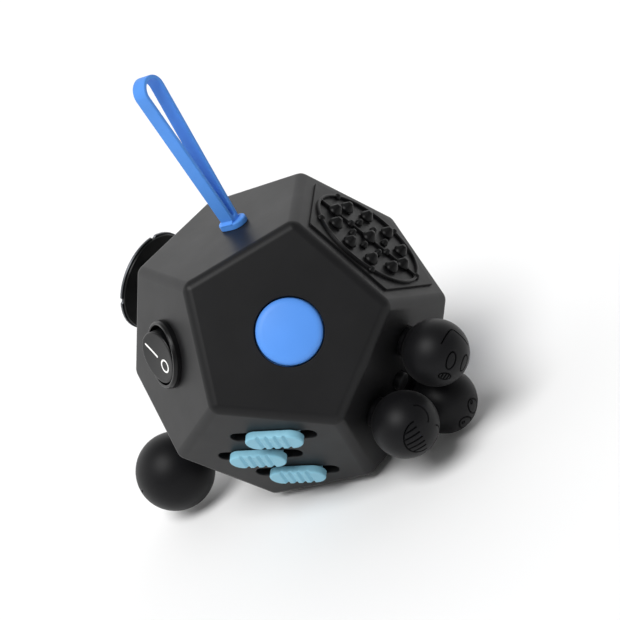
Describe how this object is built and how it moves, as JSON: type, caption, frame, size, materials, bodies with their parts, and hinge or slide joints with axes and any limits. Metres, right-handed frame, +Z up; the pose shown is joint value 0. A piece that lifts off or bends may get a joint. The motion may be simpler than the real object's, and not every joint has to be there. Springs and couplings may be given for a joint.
{
  "type": "fidget toy",
  "caption": "Twelve-sided pocket fidget toy: black dodecahedron body with a push button, strap loop, rocker switch, sliders, soft balls, joystick, spinner, gears and pads on its faces.",
  "frame": {"origin": "centre of the ripple pad, on the flat face that the toy rests on", "axes": "+Z up through the middle of the body and out of the strap face; -Y towards the push button face, which leans up by 27 degrees; +X to the right as seen from the button side"},
  "size_m": [0.0704, 0.0645, 0.084],
  "materials": {
    "body_black": "fine matt moulded ABS",
    "panel_black": "satin moulded ABS with raised cones",
    "pad_rubber": "soft matt rubber with rings",
    "steel": "plain turned steel",
    "blue_button": "satin blue plastic",
    "inner_plastic": "plain moulded nylon",
    "brass": "plain",
    "blue_silicone": "satin silicone",
    "gloss_black": "semi-gloss plastic",
    "white_ink": "printed and slightly raised",
    "soft_black": "soft satin silicone",
    "blue_slider": "satin light-blue plastic",
    "disc_metal": "satin, turned",
    "gear_grey": "moulded acetal",
    "steel_ball": "polished"
  },
  "bodies": {
    "casing": {"front_shell": "body_black", "rear_shell": "body_black", "ripple_pad": "pad_rubber", "texture_panel": "panel_black", "module_screws": "steel", "button_housing": "inner_plastic", "button_spring": "steel", "button_dome": "brass", "strap_root": "blue_silicone", "strap_clamp": "inner_plastic", "rocker_bezel": "gloss_black", "rocker_nut": "inner_plastic", "rocker_plunger": "brass", "slider_plate": "inner_plastic", "soft_plate": "inner_plastic", "joystick_housing": "inner_plastic", "joystick_collar": "gloss_black", "joystick_spring": "steel", "spinner_bush": "brass", "spinner_housing": "inner_plastic", "click_frame": "inner_plastic", "gear_tray": "gloss_black", "roller_ring": "gloss_black", "roller_cup": "inner_plastic"},
    "button": {"button_cap": "blue_button"},
    "strap": {"strap_loop": "blue_silicone"},
    "paddle": {"rocker_paddle": "gloss_black", "rocker_mark_i": "white_ink", "rocker_mark_o": "white_ink"},
    "centre": {"centre_button": "soft_black"},
    "gimbal": {"joystick_gimbal": "inner_plastic"},
    "stick": {"joystick_ball": "soft_black", "joystick_stem": "steel"},
    "spinner": {"spinner_disc": "gloss_black", "spinner_plate": "disc_metal", "spinner_cap": "gloss_black", "spinner_axle": "steel", "spinner_clip": "steel"},
    "sun": {"gear_sun": "blue_button"},
    "roller": {"roller_ball": "steel_ball"},
    "slider_1": {"slider_cap_1": "blue_slider", "slider_foot_1": "inner_plastic"},
    "slider_2": {"slider_cap_2": "blue_slider", "slider_foot_2": "inner_plastic"},
    "slider_3": {"slider_cap_3": "blue_slider", "slider_foot_3": "inner_plastic"},
    "soft_1": {"soft_ball_1": "soft_black", "soft_pin_1": "steel"},
    "soft_2": {"soft_ball_2": "soft_black", "soft_pin_2": "steel"},
    "soft_3": {"soft_ball_3": "soft_black", "soft_pin_3": "steel"},
    "click_1": {"click_button_1": "blue_button"},
    "click_2": {"click_button_2": "blue_button"},
    "click_3": {"click_button_3": "blue_button"},
    "click_4": {"click_button_4": "blue_button"},
    "click_5": {"click_button_5": "blue_button"},
    "planet_1": {"gear_planet_1": "gear_grey"},
    "planet_2": {"gear_planet_2": "gear_grey"},
    "planet_3": {"gear_planet_3": "gear_grey"}
  },
  "joints": [
    {"name": "button_press", "type": "slide", "parent": "casing", "child": "button", "axis": [0, -0.8944, 0.4472], "range_m": [-0.0012, 0], "stiffness_N_per_m": 300, "springref_m": 0.0008, "deforming": ["button_spring"]},
    {"name": "strap_bend", "type": "hinge", "parent": "casing", "child": "strap", "pos_m": [0.00179, -0.00151, 0.0539], "axis": [0.7071, -0.7071, 0], "range_deg": [-60, 60], "stiffness_Nm_per_rad": 0.003},
    {"name": "rocker_switch", "type": "hinge", "parent": "casing", "child": "paddle", "pos_m": [-0.02051, -0.00699, 0.03862], "axis": [-0.5257, 0.4472, -0.7236], "range_deg": [0, 24]},
    {"name": "slider_1_slide", "type": "slide", "parent": "casing", "child": "slider_1", "axis": [0.8507, -0.4472, -0.2764], "range_m": [-0.003, 0.0024]},
    {"name": "slider_2_slide", "type": "slide", "parent": "casing", "child": "slider_2", "axis": [0.8507, -0.4472, -0.2764], "range_m": [-0.0024, 0.003]},
    {"name": "slider_3_slide", "type": "slide", "parent": "casing", "child": "slider_3", "axis": [0.8507, -0.4472, -0.2764], "range_m": [-0.0029, 0.0025]},
    {"name": "soft_1_spin", "type": "hinge", "parent": "casing", "child": "soft_1", "pos_m": [0.01773, -0.01883, 0.0219], "axis": [0.5257, -0.7236, -0.4472], "continuous": true},
    {"name": "soft_2_spin", "type": "hinge", "parent": "casing", "child": "soft_2", "pos_m": [0.00645, -0.02249, 0.01457], "axis": [0.5257, -0.7236, -0.4472], "continuous": true},
    {"name": "soft_3_spin", "type": "hinge", "parent": "casing", "child": "soft_3", "pos_m": [0.01526, -0.01295, 0.00949], "axis": [0.5257, -0.7236, -0.4472], "continuous": true},
    {"name": "centre_press", "type": "slide", "parent": "casing", "child": "centre", "axis": [0.5257, -0.7236, -0.4472], "range_m": [-0.0008, 0], "stiffness_N_per_m": 200, "springref_m": 0.0005},
    {"name": "joystick_tilt_x", "type": "hinge", "parent": "casing", "child": "gimbal", "pos_m": [-0.01616, 0.00525, 0.018], "axis": [0.309, -0.4253, -0.8507], "range_deg": [-12, 12], "stiffness_Nm_per_rad": 0.02},
    {"name": "joystick_tilt_y", "type": "hinge", "parent": "gimbal", "child": "stick", "pos_m": [-0.01616, 0.00525, 0.018], "axis": [-0.4253, -0.8618, 0.2764], "range_deg": [-12, 12], "stiffness_Nm_per_rad": 0.02, "deforming": ["joystick_spring"]},
    {"name": "spinner_spin", "type": "hinge", "parent": "casing", "child": "spinner", "pos_m": [-0.01314, 0.01809, 0.03768], "axis": [-0.5257, 0.7236, 0.4472], "continuous": true},
    {"name": "click_1_press", "type": "slide", "parent": "casing", "child": "click_1", "axis": [0, 0.8944, -0.4472], "range_m": [-0.0008, 0], "stiffness_N_per_m": 200, "springref_m": 0.0005},
    {"name": "click_2_press", "type": "slide", "parent": "casing", "child": "click_2", "axis": [0, 0.8944, -0.4472], "range_m": [-0.0008, 0], "stiffness_N_per_m": 200, "springref_m": 0.0005},
    {"name": "click_3_press", "type": "slide", "parent": "casing", "child": "click_3", "axis": [0, 0.8944, -0.4472], "range_m": [-0.0008, 0], "stiffness_N_per_m": 200, "springref_m": 0.0005},
    {"name": "click_4_press", "type": "slide", "parent": "casing", "child": "click_4", "axis": [0, 0.8944, -0.4472], "range_m": [-0.0008, 0], "stiffness_N_per_m": 200, "springref_m": 0.0005},
    {"name": "click_5_press", "type": "slide", "parent": "casing", "child": "click_5", "axis": [0, 0.8944, -0.4472], "range_m": [-0.0008, 0], "stiffness_N_per_m": 200, "springref_m": 0.0005},
    {"name": "sun_spin", "type": "hinge", "parent": "casing", "child": "sun", "pos_m": [0.02127, 0.00691, 0.01532], "axis": [0.8507, 0.2764, -0.4472], "continuous": true},
    {"name": "planet_1_spin", "type": "hinge", "parent": "casing", "child": "planet_1", "pos_m": [0.02433, 0.0007, 0.01731], "axis": [0.8507, 0.2764, -0.4472], "continuous": true},
    {"name": "planet_2_spin", "type": "hinge", "parent": "casing", "child": "planet_2", "pos_m": [0.01781, 0.00736, 0.00902], "axis": [0.8507, 0.2764, -0.4472], "continuous": true},
    {"name": "planet_3_spin", "type": "hinge", "parent": "casing", "child": "planet_3", "pos_m": [0.02166, 0.01266, 0.01963], "axis": [0.8507, 0.2764, -0.4472], "continuous": true},
    {"name": "roller_roll", "type": "hinge", "parent": "casing", "child": "roller", "pos_m": [0.01251, 0.01722, 0.03714], "axis": [-0.809, 0.2629, 0.5257], "continuous": true}
  ],
  "couplings": [
    {"joint": "planet_1_spin", "follows": "sun_spin", "ratio": -1},
    {"joint": "planet_2_spin", "follows": "sun_spin", "ratio": -1},
    {"joint": "planet_3_spin", "follows": "sun_spin", "ratio": -1}
  ]
}
